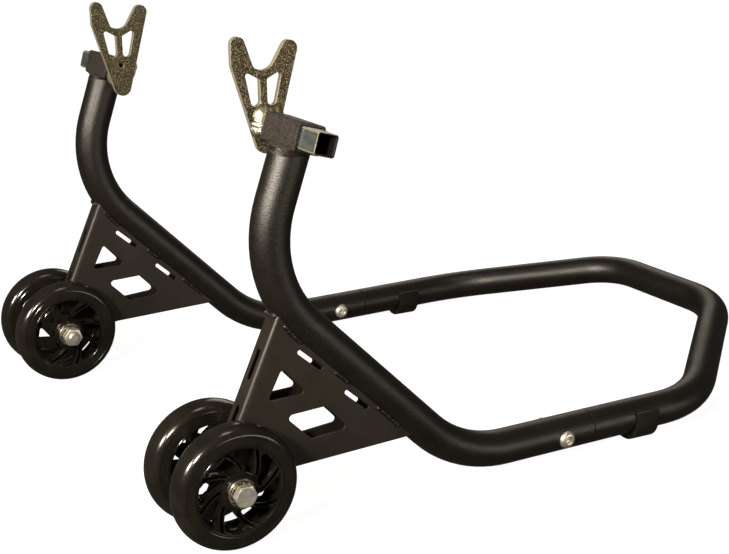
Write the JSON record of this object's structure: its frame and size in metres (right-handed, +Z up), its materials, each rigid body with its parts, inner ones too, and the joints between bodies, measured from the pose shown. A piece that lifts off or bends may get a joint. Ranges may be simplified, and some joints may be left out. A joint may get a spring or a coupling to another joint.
{
  "type": "paddock stand",
  "caption": "Rear paddock stand: bent tube frame on paired wheels with a U-shaped handle and hook plates on sliding square tubes that catch the swingarm spools.",
  "frame": {"origin": "on the floor, under the middle of the bounding box", "axes": "+X towards the handle, +Y towards the stand's right side as seen from behind the handle, +Z up"},
  "size_m": [0.6854, 0.5058, 0.3704],
  "materials": {
    "black_paint": "satin black powder coat",
    "hub_plastic": "glossy black",
    "tyre": "polished black",
    "zinc": "clear zinc plate",
    "olive_zinc": "olive-yellow zinc plate",
    "bearing_steel": "ground"
  },
  "bodies": {
    "frame": {"handle": "black_paint", "arm_left": "black_paint", "socket_left": "black_paint", "bracket_left": "black_paint", "axle_tube_left": "black_paint", "axle_bolt_left": "zinc", "axle_washer_head_left": "olive_zinc", "axle_washer_nut_left": "olive_zinc", "axle_nut_left": "zinc", "joint_sleeve_left": "black_paint", "joint_bolt_left": "zinc", "joint_nut_left": "zinc", "foot_left": "black_paint", "lock_nut_left": "black_paint", "bearing_spacer_left_outer": "zinc", "bearing_spacer_left_inner": "zinc", "arm_right": "black_paint", "socket_right": "black_paint", "bracket_right": "black_paint", "axle_tube_right": "black_paint", "axle_bolt_right": "zinc", "axle_washer_head_right": "olive_zinc", "axle_washer_nut_right": "olive_zinc", "axle_nut_right": "zinc", "joint_sleeve_right": "black_paint", "joint_bolt_right": "zinc", "joint_nut_right": "zinc", "foot_right": "black_paint", "lock_nut_right": "black_paint", "bearing_spacer_right_outer": "zinc", "bearing_spacer_right_inner": "zinc"},
    "wheel_left_outer": {"tyre_left_outer": "tyre", "hub_left_outer": "hub_plastic", "bearing_out_left_outer": "bearing_steel", "bearing_in_left_outer": "bearing_steel"},
    "wheel_left_inner": {"tyre_left_inner": "tyre", "hub_left_inner": "hub_plastic", "bearing_out_left_inner": "bearing_steel", "bearing_in_left_inner": "bearing_steel"},
    "slide_left": {"slide_tube_left": "zinc", "hook_plate_left": "olive_zinc"},
    "lock_washer_left": {"lock_washer_left": "zinc"},
    "lock_bolt_left": {"lock_bolt_left": "zinc"},
    "wheel_right_outer": {"tyre_right_outer": "tyre", "hub_right_outer": "hub_plastic", "bearing_out_right_outer": "bearing_steel", "bearing_in_right_outer": "bearing_steel"},
    "wheel_right_inner": {"tyre_right_inner": "tyre", "hub_right_inner": "hub_plastic", "bearing_out_right_inner": "bearing_steel", "bearing_in_right_inner": "bearing_steel"},
    "slide_right": {"slide_tube_right": "zinc", "hook_plate_right": "olive_zinc"},
    "lock_washer_right": {"lock_washer_right": "zinc"},
    "lock_bolt_right": {"lock_bolt_right": "zinc"}
  },
  "joints": [
    {"name": "wheel_left_outer_spin", "type": "hinge", "parent": "frame", "child": "wheel_left_outer", "pos_m": [-0.2928, -0.227, 0.05], "axis": [0, 1, 0], "continuous": true},
    {"name": "wheel_left_inner_spin", "type": "hinge", "parent": "frame", "child": "wheel_left_inner", "pos_m": [-0.2928, -0.175, 0.05], "axis": [0, 1, 0], "continuous": true},
    {"name": "hook_slide_left", "type": "slide", "parent": "frame", "child": "slide_left", "axis": [0, 1, 0], "range_m": [-0.005, 0.042]},
    {"name": "lock_travel_left", "type": "slide", "parent": "frame", "child": "lock_washer_left", "axis": [0.9659, 0, -0.2588], "range_m": [0, 0.00375]},
    {"name": "lock_turn_left", "type": "hinge", "parent": "lock_washer_left", "child": "lock_bolt_left", "pos_m": [-0.21641, -0.201, 0.30092], "axis": [0.9659, 0, -0.2588], "range_deg": [0, 1080]},
    {"name": "wheel_right_outer_spin", "type": "hinge", "parent": "frame", "child": "wheel_right_outer", "pos_m": [-0.2928, 0.227, 0.05], "axis": [0, 1, 0], "continuous": true},
    {"name": "wheel_right_inner_spin", "type": "hinge", "parent": "frame", "child": "wheel_right_inner", "pos_m": [-0.2928, 0.175, 0.05], "axis": [0, 1, 0], "continuous": true},
    {"name": "hook_slide_right", "type": "slide", "parent": "frame", "child": "slide_right", "axis": [0, -1, 0], "range_m": [-0.005, 0.042]},
    {"name": "lock_travel_right", "type": "slide", "parent": "frame", "child": "lock_washer_right", "axis": [0.9659, 0, -0.2588], "range_m": [0, 0.00375]},
    {"name": "lock_turn_right", "type": "hinge", "parent": "lock_washer_right", "child": "lock_bolt_right", "pos_m": [-0.21641, 0.201, 0.30092], "axis": [0.9659, 0, -0.2588], "range_deg": [0, 1080]}
  ],
  "couplings": [
    {"joint": "lock_turn_left", "follows": "lock_travel_left", "rad_per_m": 5026.5},
    {"joint": "lock_turn_right", "follows": "lock_travel_right", "rad_per_m": 5026.5}
  ]
}
